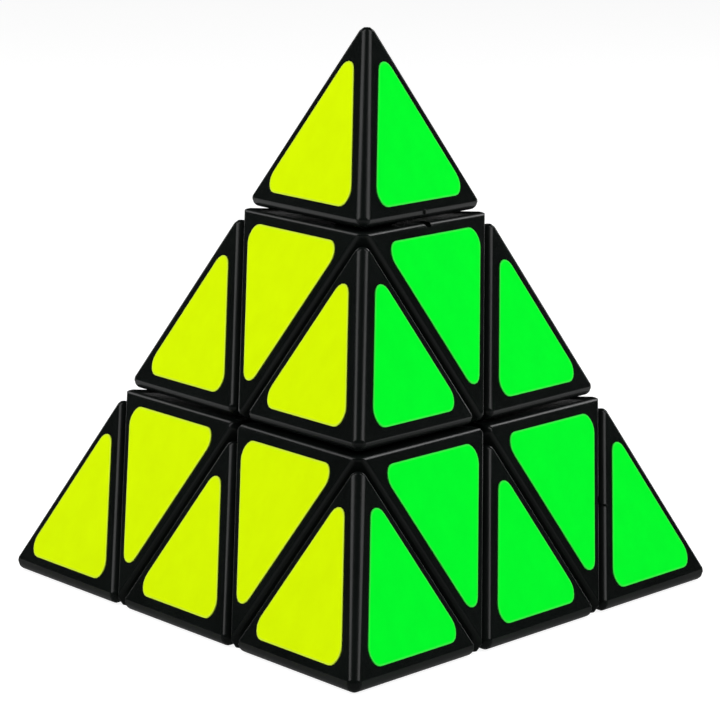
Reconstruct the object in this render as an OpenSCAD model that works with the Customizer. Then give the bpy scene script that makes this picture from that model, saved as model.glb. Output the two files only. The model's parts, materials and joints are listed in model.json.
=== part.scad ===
// Pyramid twisty puzzle: a tetrahedron that turns in three layers about each of its four corners.
// Four tips, four axial pieces and six edge pieces ride on a ball core with four screw posts.
// Millimetres and degrees. +Z is up, and the front corner points to -Y.
// The base rests on z = 0, with the middle of its bounding rectangle at the origin.
// Every sliding surface is a plane, cylinder or sphere about a corner axis,
// so each layer and each tip turns freely at any angle.

/* [Outer size] */
// Length of an outer edge, measured over its rounded ends
edge_length = 98; // [80:0.5:120]
// Radius along the outer edges and corners of the tips
tip_radius = 1.3; // [0.8:0.1:1.6]
// Radius along the base edges of the tips
tip_base_radius = 1.2; // [0.8:0.1:1.6]
// Depth of the tip cuts beyond a third of the outer edge
tip_extra = 0.65; // [0:0.05:1]
// Radius along the edges and corners of the edge pieces
edge_radius = 1.2; // [0.8:0.1:1.6]
// Radius along the seams of the axial pieces
axial_radius = 1.1; // [0.8:0.1:1.4]
// Radius of the axial pieces' short corners on the outer edges
axial_corner = 0.5; // [0.3:0.1:1.2]
// Half of the gap between neighbouring pieces
half_gap = 0.2; // [0.1:0.05:0.4]
// Wall thickness of the hollow pieces
wall = 1.8; // [1.2:0.1:2.4]

/* [Stickers] */
// Thickness of the vinyl stickers
sticker_thickness = 0.15; // [0.1:0.05:0.3]
// Black border around a tip sticker
tip_margin = 2.78; // [2.2:0.02:3.4]
// Black border around an edge sticker
edge_margin = 2.92; // [2.2:0.02:3.6]
// Black border around an axial sticker
axial_margin = 1.86; // [1.6:0.02:2.8]
// Radius of the sticker corners
sticker_corner = 2; // [1:0.1:3]

/* [Core and feet] */
// Radius of the core ball
core_radius = 11; // [10:0.1:12]
// Clearance between the core, the feet and the shells around them
foot_clearance = 0.25; // [0.15:0.05:0.4]
// Thickness of the curved feet under the edge pieces
foot_thickness = 3.75; // [3:0.05:4.5]
// Distance from the centre to the plane where the feet of one layer end
foot_cut = 2.6; // [2.4:0.1:4]
// Radius of the hub under each axial piece
hub_radius = 5.5; // [4.5:0.1:5.5]
// Radius of the openings through the curved underside of an axial piece
opening_radius = 2.6; // [1.5:0.1:3]

/* [Posts, screws and springs] */
// Radius of a core post
post_radius = 2.7; // [2.4:0.05:3]
// Distance from the centre to the top of a post
post_top = 16.6; // [16:0.1:17]
// Running clearance around a post
post_clearance = 0.15; // [0.05:0.05:0.3]
// Radius of a screw shank
screw_radius = 1.5; // [1.2:0.05:1.6]
// Distance from the centre to the point of a screw
screw_point = 4; // [3.5:0.1:8]
// Distance from the centre to the underside of a screw head
head_seat = 21.9; // [21:0.1:23]
// Radius of a screw head
head_radius = 2.75; // [2.2:0.05:3.2]
// Height of a screw head
head_height = 2; // [1.4:0.1:2.4]
// Width of the cross recess in a screw head
recess_width = 0.8; // [0.5:0.05:1]
// Thickness of a spring washer
washer_thickness = 0.5; // [0.3:0.05:0.8]
// Outer radius of a spring washer
washer_radius = 3.75; // [3.4:0.05:3.9]
// Radius of the spring wire
wire_radius = 0.33; // [0.25:0.01:0.4]
// Radius of the spring coil, to the middle of the wire
coil_radius = 3.3; // [3.2:0.05:3.6]
// Turns of a spring
spring_turns = 4; // [3:0.5:5]

/* [Tips] */
// Radius of the screw well in an axial piece, which also takes the tip's stem
well_radius = 4.2; // [4:0.05:4.6]
// Distance from the centre to the floor of the screw well
well_floor = 17.2; // [17:0.1:18]
// Thickness of the plate that closes a tip
plate_thickness = 1.6; // [1.2:0.1:2.2]
// Running clearance around the stem
stem_clearance = 0.15; // [0.05:0.05:0.3]
// Wall of the hollow stem
stem_wall = 1.25; // [1:0.05:1.6]
// Length of the stem below the tip
stem_length = 7.8; // [6:0.1:9]
// Height of the snap bead on the stem
bead_height = 0.4; // [0.2:0.05:0.5]
// Width of the slots that let the stem spring inwards
slot_width = 0.9; // [0.6:0.1:1.2]
// Radius of the pry notch in the seam between a tip and its axial piece
notch_radius = 0.9; // [0.5:0.05:1.2]

/* [Hidden] */
$fn = 64;
// Angle between two corner axes
tilt = acos(-1 / 3);
// Edge length before the corners are rounded, and sizes that follow from it
corner_loss = tip_radius * (sqrt(6) - 1);
sharp_edge = edge_length + 2 * corner_loss;
height = sharp_edge * sqrt(2 / 3);
cell_edge = sharp_edge / 3;
face_distance = height / 4;
layer_cut = height / 12;
tip_cut = 5 * layer_cut - tip_extra;
// Edge lengths of the flat faces of a tip and of an axial piece
tip_side = cell_edge + tip_extra * sqrt(3 / 2);
axial_side = cell_edge - tip_extra * sqrt(3 / 2);
// Reach of the base in front of and behind the vertical corner axis
front_reach = 3 * (face_distance - tip_radius) * sin(tilt) + tip_radius;
back_reach = 3 * (face_distance - tip_radius) * sin(tilt) / 2 + tip_radius;
// Centre of the mechanism, with the base centred on the origin
middle = [0, (front_reach - back_reach) / 2, face_distance + sticker_thickness];
// Shell radii
foot_inside = core_radius + foot_clearance;
foot_outside = foot_inside + foot_thickness;
shell_inside = foot_outside + foot_clearance + 0.05;
// Mechanical details
hub_top = 16;
hub_root = 8;
post_root = core_radius - 2;
opening_tilt = 40;
pilot_radius = screw_radius + 0.05;
pilot_depth = screw_point - 0.5;
spring_gap = 0.05;
tube_radius = well_radius + wall;
plug_gap = 0.05;
bead_level = tip_cut - 5;
groove_depth = bead_height + 0.2;
notch_depth = 1.6;
recess_depth = 1.3;
point_length = 1.2;
wire_sides = 6;
steps_per_turn = 14;
arc_steps = 6;
// Steps in which an edge is rounded: sharp edges of tips and edge pieces, blunt edges of axial pieces
sharp_steps = 6;
blunt_steps = 4;
big = 4 * edge_length;
// Order and bearings of the three corners around a corner axis
BEARINGS = [180, 300, 60];
UP = [0, 0, 1];
// Colours
black_plastic = [0.045, 0.047, 0.05];
core_plastic = [0.16, 0.16, 0.17];
screw_steel = [0.62, 0.62, 0.64];
spring_steel = [0.5, 0.51, 0.53];
washer_steel = [0.7, 0.7, 0.71];
yellow_vinyl = [0.86, 0.98, 0.02];
green_vinyl = [0.02, 0.95, 0.16];
red_vinyl = [0.85, 0.05, 0.06];
blue_vinyl = [0.02, 0.2, 0.8];

// ---- Directions and planes. A plane is [outward normal, distance from the centre]. ----

// Unit vector to the corner at the given bearing, seen from the corner at +Z
function far(bearing) = [sin(tilt) * cos(bearing), sin(tilt) * sin(bearing), cos(tilt)];
function unit(v) = v / norm(v);
// Direction a fraction t of the way from a to b
function between(a, b, t) =
    let (turn = acos(a * b))
    (sin(turn * (1 - t)) * a + sin(turn * t) * b) / sin(turn);
// Centre of the sphere of radius r that touches three planes from inside
function ball_centre(p, q, s, r) =
    ((p[1] - r) * cross(q[0], s[0]) + (q[1] - r) * cross(s[0], p[0]) + (s[1] - r) * cross(p[0], q[0]))
    / (p[0] * cross(q[0], s[0]));
// Planes that round the edge between two planes to radius r
function edge_planes(p, q, r, steps) = [
    for (i = [1:steps - 1])
        let (
            n = between(p[0], q[0], i / steps),
            turn = acos(p[0] * q[0]),
            a = sin(turn * (1 - i / steps)) / sin(turn),
            b = sin(turn * i / steps) / sin(turn)
        )
        [n, a * (p[1] - r) + b * (q[1] - r) + r]
];
// Planes that round the sharp corner of three planes to radius r
function corner_planes(p, q, s, r, steps) =
    let (c = ball_centre(p, q, s, r), turn = acos(p[0] * q[0]) / steps)
    [
        for (i = [1:steps - 2])
            for (j = [1:steps - 1 - i])
                let (
                    n = unit(
                        sin(turn * i) * p[0] + sin(turn * j) * q[0] + sin(turn * (steps - i - j)) * s[0]
                    )
                )
                [n, n * c + r]
    ];
// Planes that round the blunt corner of four normals, in order around it, to radius r about c
function blunt_planes(n1, n2, n3, n4, c, r, steps) = [
    for (i = [1:steps - 1])
        for (j = [1:steps - 1])
            let (n = between(between(n1, n2, i / steps), between(n4, n3, i / steps), j / steps))
            [n, n * c + r]
];
function inset(planes, t) = [for (p = planes) [p[0], p[1] - t]];
function flatten(lists) = [for (l = lists) for (x = l) x];

// Outer face opposite the corner at a bearing
function face(bearing) = [-far(bearing), face_distance];

// Flats of the three piece shapes, before rounding
tip_base = [-UP, -(tip_cut + half_gap)];
tip_faces = [for (b = BEARINGS) face(b)];
axial_lid = [UP, tip_cut - half_gap];
axial_floor = [-UP, -(layer_cut + half_gap)];
axial_cuts = [for (b = BEARINGS) [far(b), layer_cut - half_gap]];
edge_cuts = [[-UP, -(layer_cut + half_gap)], [-far(0), -(layer_cut + half_gap)]];
edge_faces = [face(120), face(240)];

// ---- Building blocks ----

// Everything behind a plane
module behind(plane) {
    n = plane[0];
    rotate([0, acos(n[2]), atan2(n[1], n[0])])
        translate([-big / 2, -big / 2, plane[1] - big])
            cube(big);
}

// Solid bounded by a list of planes
module bounded(planes) {
    intersection_for (p = planes)
        behind(p);
}

// Moves a shape made around the +Z axis to one of the four corners
module at_corner(corner) {
    bearing = corner == "front" ? -90 : corner == "right" ? 30 : 150;
    translate(middle)
        rotate(corner == "top" ? [0, 0, 90] : [0, tilt, bearing])
            children();
}

// Moves a shape made at all four corners of one axis set
module at_all_corners() {
    for (corner = ["top", "front", "right", "left"])
        at_corner(corner)
            children();
}

// ---- Core ----

module core_spider() {
    color(core_plastic)
        difference() {
            union() {
                translate(middle)
                    sphere(r = core_radius);
                at_all_corners()
                    translate([0, 0, post_root])
                        cylinder(h = post_top - post_root, r = post_radius);
            }
            at_all_corners()
                translate([0, 0, pilot_depth])
                    cylinder(h = post_top, r = pilot_radius);
        }
}

module axle_screw() {
    difference() {
        union() {
            translate([0, 0, screw_point])
                cylinder(h = point_length, r1 = 0.4, r2 = screw_radius);
            translate([0, 0, screw_point + point_length])
                cylinder(h = head_seat - screw_point - point_length, r = screw_radius);
            translate([0, 0, head_seat])
                cylinder(h = head_height - 0.5, r = head_radius);
            translate([0, 0, head_seat + head_height - 0.5])
                cylinder(h = 0.5, r1 = head_radius, r2 = head_radius - 0.4);
        }
        for (turn = [0, 90])
            rotate([0, 0, turn])
                translate([-1.6, -recess_width / 2, head_seat + head_height - recess_depth])
                    cube([3.2, recess_width, recess_depth + 1]);
    }
}

module axle_screws() {
    color(screw_steel)
        at_all_corners()
            axle_screw();
}

// Compression spring: a wire of wire_sides flats swept along a helix
module coil_spring(low, high) {
    count = floor(spring_turns * steps_per_turn);
    rings = [
        for (i = [0:count])
            let (turn = 360 * i / steps_per_turn, level = low + (high - low) * i / count)
            [
                for (j = [0:wire_sides - 1])
                    let (
                        a = 360 * j / wire_sides,
                        r = coil_radius + wire_radius * cos(a)
                    )
                    [r * cos(turn), r * sin(turn), level + wire_radius * sin(a)]
            ]
    ];
    sides = flatten([
        for (i = [0:count - 1])
            for (j = [0:wire_sides - 1])
                let (
                    k = (j + 1) % wire_sides,
                    p = i * wire_sides,
                    q = p + wire_sides
                )
                [[p + j, q + j, q + k], [p + j, q + k, p + k]]
    ]);
    start_cap = [for (j = [0:wire_sides - 1]) j];
    end_cap = [for (j = [wire_sides - 1:-1:0]) count * wire_sides + j];
    polyhedron(points = flatten(rings), faces = concat(sides, [start_cap, end_cap]));
}

module tension_springs() {
    color(spring_steel)
        at_all_corners()
            coil_spring(
                well_floor + spring_gap + wire_radius,
                head_seat - washer_thickness - spring_gap - wire_radius
            );
}

module spring_washers() {
    color(washer_steel)
        at_all_corners()
            translate([0, 0, head_seat - washer_thickness])
                difference() {
                    cylinder(h = washer_thickness, r = washer_radius);
                    translate([0, 0, -1])
                        cylinder(h = washer_thickness + 2, r = screw_radius + 0.2);
                }
}

// ---- Axial pieces ----

axial_flats = concat(
    [axial_lid, axial_floor],
    tip_faces,
    axial_cuts,
    // Seam around the tip
    flatten([for (f = tip_faces) edge_planes(axial_lid, f, axial_radius, blunt_steps)]),
    // Seams along the edge pieces: each outer face meets the cuts of the two corners on that face
    flatten([
        for (i = [0:2])
            for (j = [0:2])
                if (i != j)
                    edge_planes(tip_faces[i], axial_cuts[j], axial_radius, blunt_steps)
    ]),
    // Short corners on the outer edges
    flatten([for (c = axial_cuts) edge_planes(axial_lid, c, axial_corner, sharp_steps)]),
    // Corners at the middle of each outer face
    flatten([
        for (i = [0:2])
            let (
                f = tip_faces[i],
                c1 = axial_cuts[(i + 1) % 3],
                c2 = axial_cuts[(i + 2) % 3],
                ball = ball_centre(f, c1, c2, axial_radius)
            )
            blunt_planes(f[0], c1[0], -UP, c2[0], ball, axial_radius, blunt_steps)
    ])
);

axial_hollow = inset(concat([axial_lid, axial_floor], tip_faces, axial_cuts), wall);

module axial_piece(notch_bearing) {
    difference() {
        union() {
            difference() {
                bounded(axial_flats);
                sphere(r = shell_inside);
            }
            difference() {
                translate([0, 0, hub_root])
                    cylinder(h = hub_top - hub_root, r = hub_radius);
                sphere(r = foot_inside);
            }
        }
        // Bearing bore around the core post
        translate([0, 0, hub_root - 1])
            cylinder(h = well_floor - hub_root + 2, r = post_radius + post_clearance);
        // Screw well
        translate([0, 0, well_floor])
            cylinder(h = tip_cut, r = well_radius);
        // Groove for the snap bead of the tip
        snap_ring(well_radius - 0.5, groove_depth + 0.5, 0.15);
        // Lower half of the notch that the tip is prised off with
        rotate([0, 0, notch_bearing])
            pry_notch();
        // Openings from the underside into the hollow
        for (bearing = [0, 120, 240])
            rotate([0, opening_tilt, bearing])
                translate([0, 0, foot_inside + 2])
                    cylinder(h = foot_thickness + wall + 2, r = opening_radius);
        // Hollow between the walls and the screw tube
        difference() {
            bounded(axial_hollow);
            cylinder(h = tip_cut, r = tube_radius);
            sphere(r = shell_inside + wall);
        }
    }
}

// Ring with sloping flanks around the +Z axis at the level of the snap bead
module snap_ring(inner, depth, clearance) {
    half = depth + clearance;
    rotate_extrude()
        translate([inner, bead_level])
            polygon([
                [0, -half],
                [depth, -half + depth * 0.8],
                [depth, half - depth * 0.8],
                [0, half],
            ]);
}

module axial_top() {
    color(black_plastic)
        at_corner("top")
            axial_piece(240);
}

module axial_front() {
    color(black_plastic)
        at_corner("front")
            axial_piece(0);
}

module axial_right() {
    color(black_plastic)
        at_corner("right")
            axial_piece(240);
}

module axial_left() {
    color(black_plastic)
        at_corner("left")
            axial_piece(240);
}

// ---- Edge pieces, made between the corner at +Z and the corner at bearing 0 ----

edge_flats = concat(
    edge_cuts,
    edge_faces,
    // Long edge and the four seams
    edge_planes(edge_faces[0], edge_faces[1], edge_radius, sharp_steps),
    flatten([for (c = edge_cuts) for (f = edge_faces) edge_planes(c, f, edge_radius, sharp_steps)]),
    // Corners on the long edge and at the middle of each outer face
    flatten([
        for (c = edge_cuts)
            corner_planes(c, edge_faces[0], edge_faces[1], edge_radius, sharp_steps)
    ]),
    flatten([
        for (f = edge_faces)
            corner_planes(edge_cuts[0], edge_cuts[1], f, edge_radius, sharp_steps)
    ])
);

// Curved foot that the axial pieces hold down on the core
module edge_foot() {
    intersection() {
        bounded([
            [-UP, -(foot_cut + half_gap)],
            [-far(0), -(foot_cut + half_gap)],
            [far(120), foot_cut - half_gap],
            [far(240), foot_cut - half_gap]
        ]);
        difference() {
            sphere(r = foot_outside);
            sphere(r = foot_inside);
        }
    }
}

module edge_piece() {
    union() {
        bounded(edge_flats);
        edge_foot();
    }
}

module edge_top_front() {
    color(black_plastic)
        at_corner("top")
            rotate([0, 0, 180])
                edge_piece();
}

module edge_top_right() {
    color(black_plastic)
        at_corner("top")
            rotate([0, 0, 300])
                edge_piece();
}

module edge_top_left() {
    color(black_plastic)
        at_corner("top")
            rotate([0, 0, 60])
                edge_piece();
}

module edge_front_right() {
    color(black_plastic)
        at_corner("front")
            rotate([0, 0, 60])
                edge_piece();
}

module edge_right_left() {
    color(black_plastic)
        at_corner("right")
            rotate([0, 0, 60])
                edge_piece();
}

module edge_left_front() {
    color(black_plastic)
        at_corner("left")
            rotate([0, 0, 60])
                edge_piece();
}

// ---- Tips ----

tip_flats = concat(
    [tip_base],
    tip_faces,
    // Long edges and base edges
    flatten([
        for (i = [0:2])
            edge_planes(tip_faces[i], tip_faces[(i + 1) % 3], tip_radius, sharp_steps)
    ]),
    flatten([for (f = tip_faces) edge_planes(tip_base, f, tip_base_radius, sharp_steps)]),
    // Outer corner and the three base corners
    corner_planes(tip_faces[0], tip_faces[1], tip_faces[2], tip_radius, sharp_steps),
    flatten([
        for (i = [0:2])
            corner_planes(
                tip_base, tip_faces[i], tip_faces[(i + 1) % 3], tip_base_radius, sharp_steps
            )
    ])
);

// Hollow tip, open at its base, with a pry notch under the face at the given bearing
module tip_shell(notch_bearing) {
    difference() {
        bounded(tip_flats);
        bounded(inset(tip_faces, wall));
        rotate([0, 0, notch_bearing])
            pry_notch();
    }
}

// Short round notch square to an outer face, centred on the seam under the tip
module pry_notch() {
    radius = (face_distance + tip_cut * cos(tilt)) / sin(tilt);
    translate([radius, 0, tip_cut])
        rotate([0, 180 - tilt, 0])
            translate([0, 0, -notch_depth])
                cylinder(h = notch_depth + 1, r = notch_radius);
}

module tip_plug() {
    stem_radius = well_radius - stem_clearance;
    stem_end = tip_cut + half_gap - stem_length;
    difference() {
        union() {
            // Closing plate
            bounded(concat(
                [tip_base, [UP, tip_cut + half_gap + plate_thickness]],
                inset(tip_faces, wall + plug_gap)
            ));
            // Stem with its snap bead
            translate([0, 0, stem_end])
                cylinder(h = stem_length + plate_thickness, r = stem_radius);
            snap_ring(stem_radius - 0.5, bead_height + 0.5, 0);
        }
        // Hollow of the stem
        translate([0, 0, stem_end - 1])
            cylinder(h = stem_length + 1, r = stem_radius - stem_wall);
        // Slots that let the stem spring inwards
        for (turn = [0, 90])
            rotate([0, 0, turn])
                translate([-well_radius - 1, -slot_width / 2, stem_end - 1])
                    cube([2 * well_radius + 2, slot_width, stem_length - 0.8]);
    }
}

module tip_top() {
    color(black_plastic)
        at_corner("top")
            tip_shell(240);
}

module tip_front() {
    color(black_plastic)
        at_corner("front")
            tip_shell(0);
}

module tip_right() {
    color(black_plastic)
        at_corner("right")
            tip_shell(240);
}

module tip_left() {
    color(black_plastic)
        at_corner("left")
            tip_shell(240);
}

module tip_plug_top() {
    color(black_plastic)
        at_corner("top")
            tip_plug();
}

module tip_plug_front() {
    color(black_plastic)
        at_corner("front")
            tip_plug();
}

module tip_plug_right() {
    color(black_plastic)
        at_corner("right")
            tip_plug();
}

module tip_plug_left() {
    color(black_plastic)
        at_corner("left")
            tip_plug();
}

// ---- Stickers. The face opposite a corner lies below that corner's axis frame. ----

// Triangle with rounded corners, its margin inside a flat face, one corner at bearing 0
function sticker_points(side, margin) =
    let (reach = side / sqrt(3) - 2 * margin - 2 * sticker_corner)
    [
        for (corner = [0, 120, 240])
            for (i = [0:arc_steps])
                let (a = corner - 60 + 120 * i / arc_steps)
                [
                    reach * cos(corner) + sticker_corner * cos(a),
                    reach * sin(corner) + sticker_corner * sin(a)
                ]
    ];

// Sticker whose middle lies at a bearing and distance from the middle of the whole face
module face_sticker(bearing, distance, pointing, side, margin) {
    translate([distance * cos(bearing), distance * sin(bearing), -face_distance - sticker_thickness])
        rotate([0, 0, bearing + pointing])
            linear_extrude(height = sticker_thickness)
                polygon(sticker_points(side, margin));
}

module tip_sticker(bearing) {
    face_sticker(bearing, (sharp_edge - tip_side) / sqrt(3), 0, tip_side, tip_margin);
}

module axial_sticker(bearing) {
    face_sticker(bearing, axial_side / sqrt(3), 180, axial_side, axial_margin);
}

module edge_sticker(bearing) {
    face_sticker(bearing, cell_edge / sqrt(3), 180, cell_edge, edge_margin);
}

// Stickers of the yellow face, which lies opposite the right corner
module sticker_yellow_tip_top() {
    color(yellow_vinyl)
        at_corner("right")
            tip_sticker(180);
}

module sticker_yellow_tip_left() {
    color(yellow_vinyl)
        at_corner("right")
            tip_sticker(60);
}

module sticker_yellow_tip_front() {
    color(yellow_vinyl)
        at_corner("right")
            tip_sticker(300);
}

module sticker_yellow_axial_top() {
    color(yellow_vinyl)
        at_corner("right")
            axial_sticker(180);
}

module sticker_yellow_axial_left() {
    color(yellow_vinyl)
        at_corner("right")
            axial_sticker(60);
}

module sticker_yellow_axial_front() {
    color(yellow_vinyl)
        at_corner("right")
            axial_sticker(300);
}

module sticker_yellow_edge_top_left() {
    color(yellow_vinyl)
        at_corner("right")
            edge_sticker(120);
}

module sticker_yellow_edge_left_front() {
    color(yellow_vinyl)
        at_corner("right")
            edge_sticker(0);
}

module sticker_yellow_edge_top_front() {
    color(yellow_vinyl)
        at_corner("right")
            edge_sticker(240);
}

// Stickers of the green face, which lies opposite the left corner
module sticker_green_tip_top() {
    color(green_vinyl)
        at_corner("left")
            tip_sticker(180);
}

module sticker_green_tip_front() {
    color(green_vinyl)
        at_corner("left")
            tip_sticker(60);
}

module sticker_green_tip_right() {
    color(green_vinyl)
        at_corner("left")
            tip_sticker(300);
}

module sticker_green_axial_top() {
    color(green_vinyl)
        at_corner("left")
            axial_sticker(180);
}

module sticker_green_axial_front() {
    color(green_vinyl)
        at_corner("left")
            axial_sticker(60);
}

module sticker_green_axial_right() {
    color(green_vinyl)
        at_corner("left")
            axial_sticker(300);
}

module sticker_green_edge_top_front() {
    color(green_vinyl)
        at_corner("left")
            edge_sticker(120);
}

module sticker_green_edge_front_right() {
    color(green_vinyl)
        at_corner("left")
            edge_sticker(0);
}

module sticker_green_edge_top_right() {
    color(green_vinyl)
        at_corner("left")
            edge_sticker(240);
}

// Stickers of the red face, which lies opposite the front corner
module sticker_red_tip_top() {
    color(red_vinyl)
        at_corner("front")
            tip_sticker(180);
}

module sticker_red_tip_right() {
    color(red_vinyl)
        at_corner("front")
            tip_sticker(60);
}

module sticker_red_tip_left() {
    color(red_vinyl)
        at_corner("front")
            tip_sticker(300);
}

module sticker_red_axial_top() {
    color(red_vinyl)
        at_corner("front")
            axial_sticker(180);
}

module sticker_red_axial_right() {
    color(red_vinyl)
        at_corner("front")
            axial_sticker(60);
}

module sticker_red_axial_left() {
    color(red_vinyl)
        at_corner("front")
            axial_sticker(300);
}

module sticker_red_edge_top_right() {
    color(red_vinyl)
        at_corner("front")
            edge_sticker(120);
}

module sticker_red_edge_right_left() {
    color(red_vinyl)
        at_corner("front")
            edge_sticker(0);
}

module sticker_red_edge_top_left() {
    color(red_vinyl)
        at_corner("front")
            edge_sticker(240);
}

// Stickers of the blue face, which lies opposite the top corner
module sticker_blue_tip_front() {
    color(blue_vinyl)
        at_corner("top")
            tip_sticker(180);
}

module sticker_blue_tip_left() {
    color(blue_vinyl)
        at_corner("top")
            tip_sticker(60);
}

module sticker_blue_tip_right() {
    color(blue_vinyl)
        at_corner("top")
            tip_sticker(300);
}

module sticker_blue_axial_front() {
    color(blue_vinyl)
        at_corner("top")
            axial_sticker(180);
}

module sticker_blue_axial_left() {
    color(blue_vinyl)
        at_corner("top")
            axial_sticker(60);
}

module sticker_blue_axial_right() {
    color(blue_vinyl)
        at_corner("top")
            axial_sticker(300);
}

module sticker_blue_edge_left_front() {
    color(blue_vinyl)
        at_corner("top")
            edge_sticker(120);
}

module sticker_blue_edge_right_left() {
    color(blue_vinyl)
        at_corner("top")
            edge_sticker(0);
}

module sticker_blue_edge_front_right() {
    color(blue_vinyl)
        at_corner("top")
            edge_sticker(240);
}

// ---- Assembly ----

core_spider();
axle_screws();
tension_springs();
spring_washers();
axial_top();
axial_front();
axial_right();
axial_left();
edge_top_front();
edge_top_right();
edge_top_left();
edge_front_right();
edge_right_left();
edge_left_front();
tip_top();
tip_front();
tip_right();
tip_left();
tip_plug_top();
tip_plug_front();
tip_plug_right();
tip_plug_left();
sticker_yellow_tip_top();
sticker_yellow_tip_left();
sticker_yellow_tip_front();
sticker_yellow_axial_top();
sticker_yellow_axial_left();
sticker_yellow_axial_front();
sticker_yellow_edge_top_left();
sticker_yellow_edge_left_front();
sticker_yellow_edge_top_front();
sticker_green_tip_top();
sticker_green_tip_front();
sticker_green_tip_right();
sticker_green_axial_top();
sticker_green_axial_front();
sticker_green_axial_right();
sticker_green_edge_top_front();
sticker_green_edge_front_right();
sticker_green_edge_top_right();
sticker_red_tip_top();
sticker_red_tip_right();
sticker_red_tip_left();
sticker_red_axial_top();
sticker_red_axial_right();
sticker_red_axial_left();
sticker_red_edge_top_right();
sticker_red_edge_right_left();
sticker_red_edge_top_left();
sticker_blue_tip_front();
sticker_blue_tip_left();
sticker_blue_tip_right();
sticker_blue_axial_front();
sticker_blue_axial_left();
sticker_blue_axial_right();
sticker_blue_edge_left_front();
sticker_blue_edge_right_left();
sticker_blue_edge_front_right();
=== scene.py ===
import json
import math

import bmesh
import bpy
from mathutils import Matrix, Vector

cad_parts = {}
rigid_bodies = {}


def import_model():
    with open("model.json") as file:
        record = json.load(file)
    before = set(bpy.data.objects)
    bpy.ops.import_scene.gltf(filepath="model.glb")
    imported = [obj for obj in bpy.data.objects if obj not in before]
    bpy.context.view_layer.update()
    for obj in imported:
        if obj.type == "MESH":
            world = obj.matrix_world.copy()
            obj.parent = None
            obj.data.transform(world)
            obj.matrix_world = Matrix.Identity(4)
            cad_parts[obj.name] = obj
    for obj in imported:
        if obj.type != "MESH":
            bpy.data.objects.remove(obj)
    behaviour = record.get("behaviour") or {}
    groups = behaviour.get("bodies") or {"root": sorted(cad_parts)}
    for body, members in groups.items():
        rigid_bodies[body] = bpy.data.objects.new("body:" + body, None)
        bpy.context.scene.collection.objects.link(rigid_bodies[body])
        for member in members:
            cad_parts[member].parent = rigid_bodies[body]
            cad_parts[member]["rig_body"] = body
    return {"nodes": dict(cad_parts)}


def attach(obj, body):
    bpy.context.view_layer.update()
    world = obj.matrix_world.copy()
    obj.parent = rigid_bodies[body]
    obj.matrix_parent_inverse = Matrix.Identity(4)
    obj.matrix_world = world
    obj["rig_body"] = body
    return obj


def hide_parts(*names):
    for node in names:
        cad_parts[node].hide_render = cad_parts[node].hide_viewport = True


MM = 0.001

# Looks
PLASTIC_COLOUR = (0.0026, 0.0034, 0.0031, 1)
CORE_COLOUR = (0.02, 0.021, 0.022, 1)
STEEL_COLOUR = (0.56, 0.55, 0.53, 1)
VINYL_COLOURS = {
    "yellow": (0.68, 0.92, 0.0, 1),
    "green": (0.0, 0.94, 0.023, 1),
    "red": (0.86, 0.012, 0.02, 1),
    "blue": (0.0, 0.09, 0.82, 1),
}

# Vertices nearer than this are one vertex, and edges sharper than this stay sharp
WELD = 0.002 * MM
SMOOTH_ANGLE = math.radians(36)
PLASTIC_FLAT_WEIGHT = 60
VINYL_FLAT_WEIGHT = 90

# Sticker edges
SHOULDER = 0.05 * MM
SHOULDER_STEPS = 3
RIM = 0.18 * MM
RIM_PALENESS = 0.05
# The rim colour is multiplied by this: painted shade on the rolled edge of each sticker
RIM_PAINTED_SHADE = 0.87

# Middle of the mechanism, where the four corner axes meet, and the bearings of the lower three
MIDDLE = (0, 13.77 * MM, 20.92 * MM)
LOWER_CORNERS = {"front": -90, "right": 30, "left": 150}
TOP_TURN = 90

# Moulding mark on the base edge of each tip, above its pry notch
MARK_LEVEL = 35.3 * MM
MARK_REACH = 9.549 * MM
MARK_DEPTH = 0.25 * MM
MARK_BEARINGS = {"top": 240, "front": 0, "right": 240, "left": 240}
MARK_SIZE = (0.45 * MM, 0.2 * MM, 0.4 * MM)
MARK_RINGS = 5
MARK_STEPS = 20

# The camera, level with the upper part of the puzzle and looking slightly down
CAMERA_AZIMUTH = math.radians(-0.43)
CAMERA_DIP = math.radians(8.07)
CAMERA_ROLL = math.radians(0.84)
CAMERA_DISTANCE = 0.697
CAMERA_RIGHT = 0.08 * MM
CAMERA_DROP = -13.98 * MM
LENS = 253.7
SENSOR = 36

# Studio
FLOOR_RADIUS = 6
FLOOR_STEPS = 96
FLOOR_GLOW = 0.9
# Painted shadow: glossy reflections see the floor dimmer close to the puzzle, out to full glow
FLOOR_NEAR_PAINTED_SHADOW = 0.1
FLOOR_NEAR_END = 0.075
FLOOR_FAR_START = 0.2
PAPER_COLOURS = ((0.26, 0.26, 0.26, 1), (0.28, 0.28, 0.28, 1))
BACKGROUND = (1, 1, 1, 1)
# Dim light from above, fading to none towards the horizon
FILL = (0.03, 0.031, 0.031, 1)
FILL_NONE = 0.15
FILL_WHOLE = 0.45

# Name, direction from the puzzle, distance, width and height, and watts
SOFTBOXES = (
    ("left_softbox", (-0.679, -0.198, 0.706), 0.9, (0.32, 0.9), 6.3),
    ("right_softbox", (0.679, -0.198, 0.706), 0.9, (0.32, 0.9), 6.3),
    ("left_strip", (-0.54, 0.80, 0.27), 1.1, (0.14, 0.8), 0.5),
    ("right_strip", (0.54, 0.80, 0.27), 1.1, (0.14, 0.8), 0.8),
    ("left_back_softbox", (-0.47, 0.72, 0.51), 1.2, (0.3, 0.3), 0.25),
    ("right_back_softbox", (0.47, 0.72, 0.51), 1.2, (0.3, 0.3), 0.7),
)


def tree_of(name):
    """A new material with its node tree and its Principled shader."""
    material = bpy.data.materials.new(name)
    material.use_nodes = True
    tree = material.node_tree
    return material, tree, tree.nodes["Principled BSDF"]


def add_node(tree, kind, **settings):
    """A node with its settings and, by name, its inputs."""
    node = tree.nodes.new(kind)
    for key, value in settings.items():
        if key in node.inputs:
            node.inputs[key].default_value = value
        else:
            setattr(node, key, value)
    return node


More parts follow.
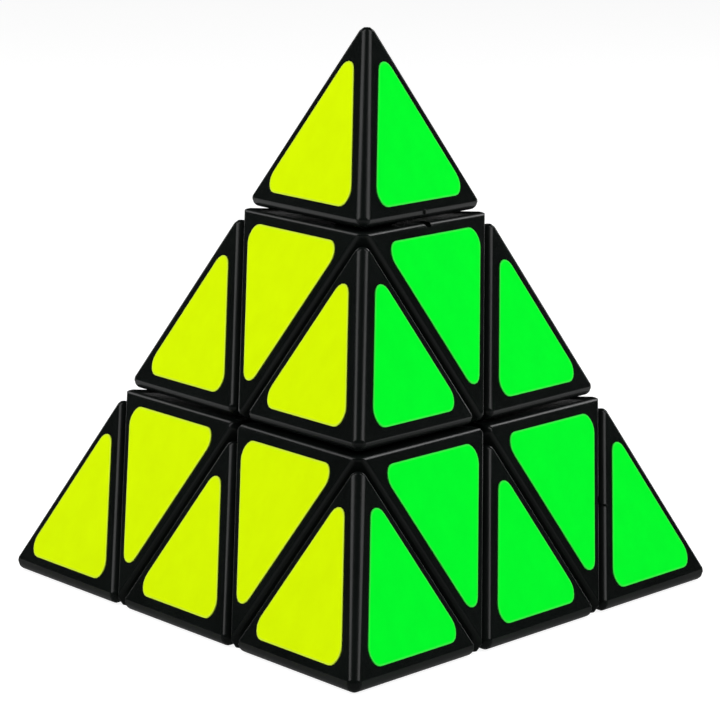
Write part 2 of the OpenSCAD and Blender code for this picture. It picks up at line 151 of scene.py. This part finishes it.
def noise(tree, scale, detail=2.0, roughness=0.5):
    """Noise over the object's own coordinates, so that it turns with the piece."""
    place = add_node(tree, "ShaderNodeTexCoord")
    node = tree.nodes.new("ShaderNodeTexNoise")
    node.inputs["Scale"].default_value = scale
    node.inputs["Detail"].default_value = detail
    node.inputs["Roughness"].default_value = roughness
    tree.links.new(place.outputs["Object"], node.inputs["Vector"])
    return node.outputs["Fac"]


def ramp(tree, value, low, high, start=0.3, end=0.7):
    """value, spread from low to high."""
    node = tree.nodes.new("ShaderNodeMapRange")
    node.inputs["From Min"].default_value = start
    node.inputs["From Max"].default_value = end
    node.inputs["To Min"].default_value = low
    node.inputs["To Max"].default_value = high
    tree.links.new(value, node.inputs["Value"])
    return node.outputs["Result"]


def two_colours(tree, value, first, second, start=0.3, end=0.7):
    """A colour that runs from first to second with value."""
    node = tree.nodes.new("ShaderNodeValToRGB")
    node.color_ramp.elements[0].position = start
    node.color_ramp.elements[0].color = first
    node.color_ramp.elements[1].position = end
    node.color_ramp.elements[1].color = second
    tree.links.new(value, node.inputs["Fac"])
    return node.outputs["Color"]


def bump(tree, value, distance, normal=None):
    """A bumped normal, distance metres deep."""
    node = tree.nodes.new("ShaderNodeBump")
    node.inputs["Strength"].default_value = 1.0
    node.inputs["Distance"].default_value = distance
    tree.links.new(value, node.inputs["Height"])
    if normal is not None:
        tree.links.new(normal, node.inputs["Normal"])
    return node.outputs["Normal"]


def scaled(colour, factor):
    return (colour[0] * factor, colour[1] * factor, colour[2] * factor, 1)


def paler(colour, share):
    return tuple(c + (1 - c) * share for c in colour[:3]) + (1,)


def turn_about(axis, degrees):
    return Matrix.Rotation(math.radians(degrees), 4, axis)


def moulded_plastic():
    """Glossy, deep black moulded plastic with flow marks, a fine skin and scuffs."""
    material, tree, shader = tree_of("moulded_black_plastic")
    flow = noise(tree, scale=90, detail=3, roughness=0.55)
    tree.links.new(
        two_colours(tree, flow, PLASTIC_COLOUR, scaled(PLASTIC_COLOUR, 1.7)),
        shader.inputs["Base Color"],
    )
    scuff = noise(tree, scale=1400, detail=5, roughness=0.65)
    tree.links.new(
        ramp(tree, scuff, low=0.19, high=0.27, start=0.35, end=0.7),
        shader.inputs["Roughness"],
    )
    skin = bump(tree, noise(tree, scale=300, roughness=0.4), distance=0.006 * MM)
    grain = bump(tree, noise(tree, scale=3800), distance=0.0003 * MM, normal=skin)
    tree.links.new(grain, shader.inputs["Normal"])
    shader.inputs["Specular IOR Level"].default_value = 0.095
    shader.inputs["IOR"].default_value = 1.5
    return material


def core_plastic():
    """The tougher, duller plastic of the core."""
    material, tree, shader = tree_of("dull_core_plastic")
    cloud = noise(tree, scale=140, detail=3)
    tree.links.new(
        two_colours(tree, cloud, CORE_COLOUR, scaled(CORE_COLOUR, 1.5)),
        shader.inputs["Base Color"],
    )
    tree.links.new(
        ramp(tree, noise(tree, scale=2200, detail=4), low=0.45, high=0.6),
        shader.inputs["Roughness"],
    )
    tree.links.new(
        bump(tree, noise(tree, scale=2600, detail=3), distance=0.004 * MM),
        shader.inputs["Normal"],
    )
    return material


def steel(name, roughness):
    """Plated steel with fine drawing marks and a little tarnish."""
    material, tree, shader = tree_of(name)
    tarnish = noise(tree, scale=500, detail=4, roughness=0.6)
    tree.links.new(
        two_colours(tree, tarnish, scaled(STEEL_COLOUR, 0.75), STEEL_COLOUR),
        shader.inputs["Base Color"],
    )
    marks = noise(tree, scale=5200, detail=3, roughness=0.7)
    tree.links.new(
        ramp(tree, marks, low=roughness, high=roughness + 0.14), shader.inputs["Roughness"]
    )
    tree.links.new(bump(tree, marks, distance=0.002 * MM), shader.inputs["Normal"])
    shader.inputs["Metallic"].default_value = 1.0
    return material


def vinyl(name, base):
    """Fluorescent vinyl film: an even colour with faint clouding and a fine grain."""
    material, tree, shader = tree_of(name)
    cloud = noise(tree, scale=260, detail=3)
    tree.links.new(
        two_colours(tree, cloud, scaled(base, 0.965), base), shader.inputs["Base Color"]
    )
    tree.links.new(
        ramp(tree, noise(tree, scale=900, detail=4, roughness=0.6), low=0.36, high=0.46),
        shader.inputs["Roughness"],
    )
    lay = bump(tree, noise(tree, scale=150, roughness=0.4), distance=0.010 * MM)
    grain = bump(tree, noise(tree, scale=4200), distance=0.0012 * MM, normal=lay)
    tree.links.new(grain, shader.inputs["Normal"])
    shader.inputs["Specular IOR Level"].default_value = 0.01
    return material


def smoothing():
    """A node group that shades a mesh smooth, apart from its sharp edges."""
    group = bpy.data.node_groups.new("smooth_by_angle", "GeometryNodeTree")
    group.interface.new_socket("Geometry", in_out="INPUT", socket_type="NodeSocketGeometry")
    group.interface.new_socket("Geometry", in_out="OUTPUT", socket_type="NodeSocketGeometry")
    start = group.nodes.new("NodeGroupInput")
    end = group.nodes.new("NodeGroupOutput")
    merge = group.nodes.new("GeometryNodeMergeByDistance")
    merge.inputs["Distance"].default_value = WELD
    shade = group.nodes.new("GeometryNodeSetMeshNormal")
    shade.inputs["Remove Custom"].default_value = True
    shade.inputs["Face Sharpness"].default_value = False
    edge = group.nodes.new("GeometryNodeInputMeshEdgeAngle")
    sharp = group.nodes.new("FunctionNodeCompare")
    sharp.inputs["B"].default_value = SMOOTH_ANGLE
    group.links.new(edge.outputs["Unsigned Angle"], sharp.inputs["A"])
    group.links.new(sharp.outputs["Result"], shade.inputs["Edge Sharpness"])
    group.links.new(start.outputs["Geometry"], merge.inputs["Geometry"])
    group.links.new(merge.outputs["Geometry"], shade.inputs["Mesh"])
    group.links.new(shade.outputs["Mesh"], end.inputs["Geometry"])
    return group


def smooth_node(node, group):
    """Smooth shading for a CAD node, by modifiers only."""
    shade = node.modifiers.new("smooth", "NODES")
    shade.node_group = group
    weigh = node.modifiers.new("flat_faces_stay_flat", "WEIGHTED_NORMAL")
    weigh.keep_sharp = True
    weigh.weight = PLASTIC_FLAT_WEIGHT


def sticker_piece(node, outward, materials, body):
    """A sticker with a rolled, cut edge, made from the outline of its CAD node; its rim is
    painted darker, as shade on the rolled edge.
    """
    mesh = bpy.data.meshes.new(node.name + "_film")
    made = bmesh.new()
    made.from_mesh(node.data)
    for layer in list(made.loops.layers.float_vector.values()):
        made.loops.layers.float_vector.remove(layer)
    bmesh.ops.remove_doubles(made, verts=made.verts, dist=WELD)
    made.normal_update()
    upper = [f for f in made.faces if f.normal.dot(outward) > 0.9]
    cap = bmesh.ops.dissolve_faces(made, faces=upper)["region"][0]
    bmesh.ops.bevel(
        made,
        geom=list(cap.edges),
        offset=SHOULDER,
        offset_type="OFFSET",
        segments=SHOULDER_STEPS,
        profile=0.5,
        affect="EDGES",
        clamp_overlap=True,
    )
    made.normal_update()
    made.faces.ensure_lookup_table()
    cap = max(
        (f for f in made.faces if f.normal.dot(outward) > 0.999),
        key=lambda f: f.calc_area(),
    )
    bmesh.ops.inset_region(made, faces=[cap], thickness=RIM, use_even_offset=True)
    for face in made.faces:
        face.material_index = 1
        face.smooth = True
    cap.material_index = 0
    cap.smooth = False
    made.to_mesh(mesh)
    made.free()
    if mesh.has_custom_normals:
        mesh.attributes.remove(mesh.attributes["custom_normal"])
    film = bpy.data.objects.new(node.name + "_film", mesh)
    bpy.context.scene.collection.objects.link(film)
    for material in materials:
        mesh.materials.append(material)
    weigh = film.modifiers.new("flat_faces_stay_flat", "WEIGHTED_NORMAL")
    weigh.weight = VINYL_FLAT_WEIGHT
    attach(film, body)
    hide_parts(node.name)


def moulding_mark(corner, bearing, material, body):
    """The small upright rib that moulding leaves on the rounded base edge of a tip."""
    name = "moulding_mark_" + corner
    mesh = bpy.data.meshes.new(name)
    made = bmesh.new()
    rings = []
    for i in range(MARK_RINGS):
        lift = math.radians(90 * i / MARK_RINGS)
        rings.append(
            [
                made.verts.new(
                    (
                        MARK_SIZE[0] * math.cos(lift) * math.cos(turn),
                        MARK_SIZE[1] * math.cos(lift) * math.sin(turn),
                        MARK_SIZE[2] * math.sin(lift),
                    )
                )
                for turn in (math.tau * k / MARK_STEPS for k in range(MARK_STEPS))
            ]
        )
    crown = made.verts.new((0, 0, MARK_SIZE[2]))
    for low, high in zip(rings, rings[1:]):
        for k in range(MARK_STEPS):
            m = (k + 1) % MARK_STEPS
            made.faces.new((low[k], low[m], high[m], high[k]))
    for k in range(MARK_STEPS):
        made.faces.new((rings[-1][k], rings[-1][(k + 1) % MARK_STEPS], crown))
    made.faces.new(rings[0][::-1])
    for face in made.faces:
        face.smooth = True
    made.transform(
        Matrix.Translation(middle)
        @ corner_turns[corner]
        @ turn_about("Z", bearing)
        @ Matrix.Translation((MARK_REACH, 0, MARK_LEVEL))
        @ turn_about("Y", 180 - math.degrees(spread))
        @ Matrix.Translation((0, 0, -MARK_DEPTH))
    )
    made.to_mesh(mesh)
    made.free()
    mark = bpy.data.objects.new(name, mesh)
    bpy.context.scene.collection.objects.link(mark)
    mesh.materials.append(material)
    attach(mark, body)


def make_camera(target):
    """A long lens, nearly level, with the puzzle a little above its axis."""
    azimuth, dip, roll = CAMERA_AZIMUTH, CAMERA_DIP, CAMERA_ROLL
    sight = Vector(
        (
            math.sin(azimuth) * math.cos(dip),
            math.cos(azimuth) * math.cos(dip),
            -math.sin(dip),
        )
    )
    level = Vector((math.cos(azimuth), -math.sin(azimuth), 0))
    upright = level.cross(sight)
    across = level * math.cos(roll) + upright * math.sin(roll)
    up = upright * math.cos(roll) - level * math.sin(roll)
    data = bpy.data.cameras.new("camera")
    data.lens = LENS
    data.sensor_width = SENSOR
    data.clip_start = 0.01
    data.clip_end = 50
    camera = bpy.data.objects.new("camera", data)
    bpy.context.scene.collection.objects.link(camera)
    place = target - across * CAMERA_RIGHT - up * CAMERA_DROP - sight * CAMERA_DISTANCE
    camera.matrix_world = Matrix(
        (
            (across.x, up.x, -sight.x, place.x),
            (across.y, up.y, -sight.y, place.y),
            (across.z, up.z, -sight.z, place.z),
            (0, 0, 0, 1),
        )
    )
    bpy.context.scene.camera = camera


def softbox(name, direction, distance, size, power, target):
    """A rectangular softbox in a direction from the puzzle, facing it."""
    data = bpy.data.lights.new(name, "AREA")
    data.shape = "RECTANGLE"
    data.size, data.size_y = size
    data.energy = power
    lamp = bpy.data.objects.new(name, data)
    bpy.context.scene.collection.objects.link(lamp)
    way = Vector(direction).normalized()
    lamp.location = target + way * distance
    lamp.visible_camera = False
    lamp.rotation_euler = way.to_track_quat("Z", "Y").to_euler()


def make_floor():
    """A round, pale, matt sweep; glossy rays see its glow dimmed near the puzzle, a painted
    shadow in reflections.
    """
    mesh = bpy.data.meshes.new("floor")
    made = bmesh.new()
    bmesh.ops.create_circle(made, cap_ends=True, radius=FLOOR_RADIUS, segments=FLOOR_STEPS)
    made.to_mesh(mesh)
    made.free()
    floor = bpy.data.objects.new("floor", mesh)
    bpy.context.scene.collection.objects.link(floor)
    material, tree, shader = tree_of("pale_paper")
    paper = noise(tree, scale=3, detail=3)
    tree.links.new(
        two_colours(tree, paper, *PAPER_COLOURS),
        shader.inputs["Base Color"],
    )
    shader.inputs["Roughness"].default_value = 0.9
    shader.inputs["Specular IOR Level"].default_value = 0.1
    shader.inputs["Emission Color"].default_value = (1, 1, 1, 1)
    place = add_node(tree, "ShaderNodeTexCoord")
    reach = add_node(tree, "ShaderNodeVectorMath", operation="LENGTH")
    tree.links.new(place.outputs["Object"], reach.inputs[0])
    glow = ramp(
        tree,
        reach.outputs["Value"],
        low=FLOOR_NEAR_PAINTED_SHADOW,
        high=FLOOR_GLOW,
        start=FLOOR_NEAR_END,
        end=FLOOR_FAR_START,
    )
    # Glossy rays see the glow dimmed near the puzzle: painted shadow in reflections. Other
    # rays see the full glow.
    ray = tree.nodes.new("ShaderNodeLightPath")
    pick = add_node(tree, "ShaderNodeMix", data_type="FLOAT", A=FLOOR_GLOW)
    tree.links.new(ray.outputs["Is Glossy Ray"], pick.inputs["Factor"])
    tree.links.new(glow, pick.inputs["B"])
    tree.links.new(pick.outputs["Result"], shader.inputs["Emission Strength"])
    mesh.materials.append(material)


def make_world():
    """A white room that lights the puzzle only dimly from above."""
    world = bpy.data.worlds.new("studio")
    bpy.context.scene.world = world
    world.use_nodes = True
    tree = world.node_tree
    tree.nodes.clear()
    out = tree.nodes.new("ShaderNodeOutputWorld")
    mix = tree.nodes.new("ShaderNodeMixShader")
    ray = tree.nodes.new("ShaderNodeLightPath")
    seen = add_node(tree, "ShaderNodeBackground", Color=BACKGROUND)
    fill = add_node(tree, "ShaderNodeBackground", Color=FILL)
    place = add_node(tree, "ShaderNodeTexCoord")
    split = add_node(tree, "ShaderNodeSeparateXYZ")
    tree.links.new(place.outputs["Generated"], split.inputs["Vector"])
    height = ramp(
        tree, split.outputs["Z"], low=0, high=1, start=FILL_NONE, end=FILL_WHOLE
    )
    tree.links.new(height, fill.inputs["Strength"])
    tree.links.new(ray.outputs["Is Camera Ray"], mix.inputs["Fac"])
    tree.links.new(fill.outputs["Background"], mix.inputs[1])
    tree.links.new(seen.outputs["Background"], mix.inputs[2])
    tree.links.new(mix.outputs["Shader"], out.inputs["Surface"])


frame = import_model()
bpy.context.view_layer.update()
nodes = frame["nodes"]

middle = Vector(MIDDLE)
spread = math.acos(-1 / 3)
corner_turns = {"top": turn_about("Z", TOP_TURN)}
for corner, bearing in LOWER_CORNERS.items():
    corner_turns[corner] = turn_about("Z", bearing) @ turn_about("Y", math.degrees(spread))
axes = {corner: turn @ Vector((0, 0, 1)) for corner, turn in corner_turns.items()}
facing = {
    "yellow": -axes["right"],
    "green": -axes["left"],
    "red": -axes["front"],
    "blue": -axes["top"],
}

black = moulded_plastic()
dull = core_plastic()
metals = {
    "axle_screws": steel("screw_steel_finish", 0.24),
    "tension_springs": steel("spring_steel_finish", 0.3),
    "spring_washers": steel("washer_steel_finish", 0.2),
}
films = {
    colour: (
        vinyl("vinyl_film_" + colour, rgb),
        # The cut edge film is a little paler, and darkened as painted shade on the rolled rim
        vinyl("vinyl_cut_edge_painted_shade_" + colour, scaled(paler(rgb, RIM_PALENESS), RIM_PAINTED_SHADE)),
    )
    for colour, rgb in VINYL_COLOURS.items()
}

group = smoothing()
for name, node in nodes.items():
    if name.startswith("sticker_"):
        colour = name.split("_")[1]
        sticker_piece(
            node, facing[colour], films[colour], node["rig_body"]
        )
        continue
    finish = metals.get(name, dull if name == "core_spider" else black)
    for held in node.material_slots:
        held.material = finish
    smooth_node(node, group)

for corner, bearing in MARK_BEARINGS.items():
    moulding_mark(corner, bearing, black, nodes["tip_" + corner]["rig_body"])

make_floor()
make_world()
for name, direction, distance, size, power in SOFTBOXES:
    softbox(name, direction, distance, size, power, middle)
make_camera(middle)

bpy.context.scene.view_settings.view_transform = "Standard"
bpy.context.scene.view_settings.look = "None"

bpy.context.view_layer.update()
